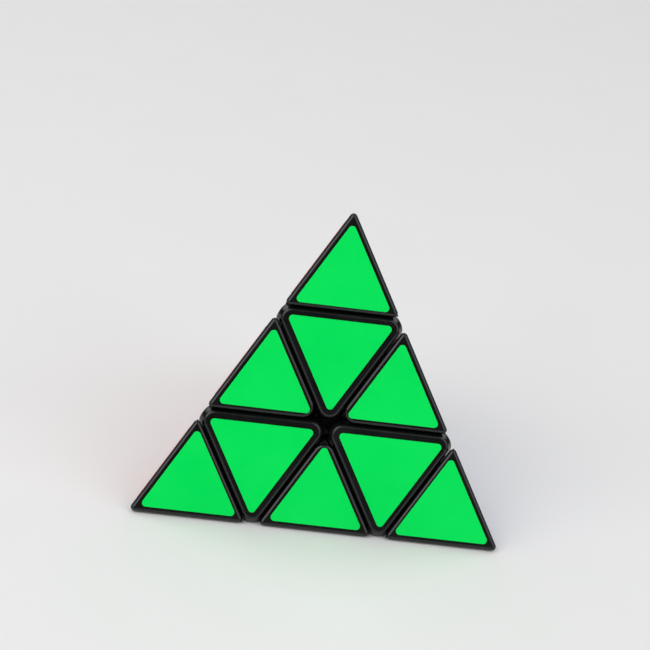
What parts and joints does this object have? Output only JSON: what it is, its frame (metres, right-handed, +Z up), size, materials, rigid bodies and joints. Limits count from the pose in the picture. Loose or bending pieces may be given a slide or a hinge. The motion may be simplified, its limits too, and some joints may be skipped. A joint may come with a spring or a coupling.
{
  "type": "pyramid twisty puzzle",
  "caption": "Three-layer tetrahedral twisty puzzle: corner tips, axials and edges in black plastic with coloured stickers turn round a sprung core.",
  "frame": {"origin": "centre of the core, where the four turning axes cross, which is also the centroid", "axes": "+Z up, out through the top corner; the puzzle stands on its bottom face; -Y is the front, where the green face looks"},
  "size_m": [0.095, 0.0827, 0.0783],
  "materials": {
    "black_plastic": "satin moulded ABS",
    "foot_plastic": "plain moulded ABS",
    "core_plastic": "plain moulded nylon",
    "sticker_green": "bright vinyl film",
    "sticker_red": "bright vinyl film",
    "sticker_blue": "bright vinyl film",
    "sticker_yellow": "bright vinyl film",
    "zinc_steel": "zinc plated",
    "spring_steel": "drawn wire"
  },
  "bodies": {
    "core": {"core": "core_plastic", "tension_screws": "zinc_steel", "tension_springs": "spring_steel", "washers": "zinc_steel"},
    "top_layer": {"top_axial": "black_plastic", "blue_sticker_top_axial": "sticker_blue", "green_sticker_top_axial": "sticker_green", "red_sticker_top_axial": "sticker_red"},
    "left_layer": {"left_axial": "black_plastic", "green_sticker_left_axial": "sticker_green", "red_sticker_left_axial": "sticker_red", "yellow_sticker_left_axial": "sticker_yellow"},
    "right_layer": {"right_axial": "black_plastic", "blue_sticker_right_axial": "sticker_blue", "green_sticker_right_axial": "sticker_green", "yellow_sticker_right_axial": "sticker_yellow"},
    "back_layer": {"back_axial": "black_plastic", "blue_sticker_back_axial": "sticker_blue", "red_sticker_back_axial": "sticker_red", "yellow_sticker_back_axial": "sticker_yellow"},
    "top_corner": {"top_tip": "black_plastic", "blue_sticker_top_tip": "sticker_blue", "green_sticker_top_tip": "sticker_green", "red_sticker_top_tip": "sticker_red"},
    "left_corner": {"left_tip": "black_plastic", "green_sticker_left_tip": "sticker_green", "red_sticker_left_tip": "sticker_red", "yellow_sticker_left_tip": "sticker_yellow"},
    "right_corner": {"right_tip": "black_plastic", "blue_sticker_right_tip": "sticker_blue", "green_sticker_right_tip": "sticker_green", "yellow_sticker_right_tip": "sticker_yellow"},
    "back_corner": {"back_tip": "black_plastic", "blue_sticker_back_tip": "sticker_blue", "red_sticker_back_tip": "sticker_red", "yellow_sticker_back_tip": "sticker_yellow"},
    "top_left_edge": {"top_left_edge_shell": "black_plastic", "top_left_edge_foot": "foot_plastic", "green_sticker_top_left_edge": "sticker_green", "red_sticker_top_left_edge": "sticker_red"},
    "top_right_edge": {"top_right_edge_shell": "black_plastic", "top_right_edge_foot": "foot_plastic", "blue_sticker_top_right_edge": "sticker_blue", "green_sticker_top_right_edge": "sticker_green"},
    "top_back_edge": {"top_back_edge_shell": "black_plastic", "top_back_edge_foot": "foot_plastic", "blue_sticker_top_back_edge": "sticker_blue", "red_sticker_top_back_edge": "sticker_red"},
    "left_right_edge": {"left_right_edge_shell": "black_plastic", "left_right_edge_foot": "foot_plastic", "green_sticker_left_right_edge": "sticker_green", "yellow_sticker_left_right_edge": "sticker_yellow"},
    "left_back_edge": {"left_back_edge_shell": "black_plastic", "left_back_edge_foot": "foot_plastic", "red_sticker_left_back_edge": "sticker_red", "yellow_sticker_left_back_edge": "sticker_yellow"},
    "right_back_edge": {"right_back_edge_shell": "black_plastic", "right_back_edge_foot": "foot_plastic", "blue_sticker_right_back_edge": "sticker_blue", "yellow_sticker_right_back_edge": "sticker_yellow"}
  },
  "joints": [
    {"name": "top_layer_turn", "type": "hinge", "parent": "core", "child": "top_layer", "pos_m": [0, 0, 0], "axis": [0, 0, 1], "range_deg": [-240, 120]},
    {"name": "left_layer_turn", "type": "hinge", "parent": "core", "child": "left_layer", "pos_m": [0, 0, 0], "axis": [-0.8165, -0.4714, -0.3333], "range_deg": [-240, 120]},
    {"name": "right_layer_turn", "type": "hinge", "parent": "core", "child": "right_layer", "pos_m": [0, 0, 0], "axis": [0.8165, -0.4714, -0.3333], "range_deg": [-240, 120]},
    {"name": "back_layer_turn", "type": "hinge", "parent": "core", "child": "back_layer", "pos_m": [0, 0, 0], "axis": [0, 0.9428, -0.3333], "range_deg": [-240, 120]},
    {"name": "top_tip_turn", "type": "hinge", "parent": "top_layer", "child": "top_corner", "pos_m": [0, 0, 0], "axis": [0, 0, 1], "continuous": true},
    {"name": "left_tip_turn", "type": "hinge", "parent": "left_layer", "child": "left_corner", "pos_m": [0, 0, 0], "axis": [-0.8165, -0.4714, -0.3333], "continuous": true},
    {"name": "right_tip_turn", "type": "hinge", "parent": "right_layer", "child": "right_corner", "pos_m": [0, 0, 0], "axis": [0.8165, -0.4714, -0.3333], "continuous": true},
    {"name": "back_tip_turn", "type": "hinge", "parent": "back_layer", "child": "back_corner", "pos_m": [0, 0, 0], "axis": [0, 0.9428, -0.3333], "continuous": true},
    {"name": "top_left_edge_carried_by_left_layer", "type": "hinge", "parent": "top_layer", "child": "top_left_edge", "pos_m": [0, 0, 0], "axis": [-0.8165, -0.4714, -0.3333], "range_deg": [-240, 120]},
    {"name": "top_right_edge_carried_by_right_layer", "type": "hinge", "parent": "top_layer", "child": "top_right_edge", "pos_m": [0, 0, 0], "axis": [0.8165, -0.4714, -0.3333], "range_deg": [-240, 120]},
    {"name": "top_back_edge_carried_by_back_layer", "type": "hinge", "parent": "top_layer", "child": "top_back_edge", "pos_m": [0, 0, 0], "axis": [0, 0.9428, -0.3333], "range_deg": [-240, 120]},
    {"name": "left_right_edge_carried_by_right_layer", "type": "hinge", "parent": "left_layer", "child": "left_right_edge", "pos_m": [0, 0, 0], "axis": [0.8165, -0.4714, -0.3333], "range_deg": [-240, 120]},
    {"name": "right_back_edge_carried_by_back_layer", "type": "hinge", "parent": "right_layer", "child": "right_back_edge", "pos_m": [0, 0, 0], "axis": [0, 0.9428, -0.3333], "range_deg": [-240, 120]},
    {"name": "left_back_edge_carried_by_left_layer", "type": "hinge", "parent": "back_layer", "child": "left_back_edge", "pos_m": [0, 0, 0], "axis": [-0.8165, -0.4714, -0.3333], "range_deg": [-240, 120]}
  ],
  "couplings": [
    {"joint": "top_left_edge_carried_by_left_layer", "follows": "left_layer_turn", "ratio": 1},
    {"joint": "top_right_edge_carried_by_right_layer", "follows": "right_layer_turn", "ratio": 1},
    {"joint": "top_back_edge_carried_by_back_layer", "follows": "back_layer_turn", "ratio": 1},
    {"joint": "left_right_edge_carried_by_right_layer", "follows": "right_layer_turn", "ratio": 1},
    {"joint": "right_back_edge_carried_by_back_layer", "follows": "back_layer_turn", "ratio": 1},
    {"joint": "left_back_edge_carried_by_left_layer", "follows": "left_layer_turn", "ratio": 1}
  ]
}
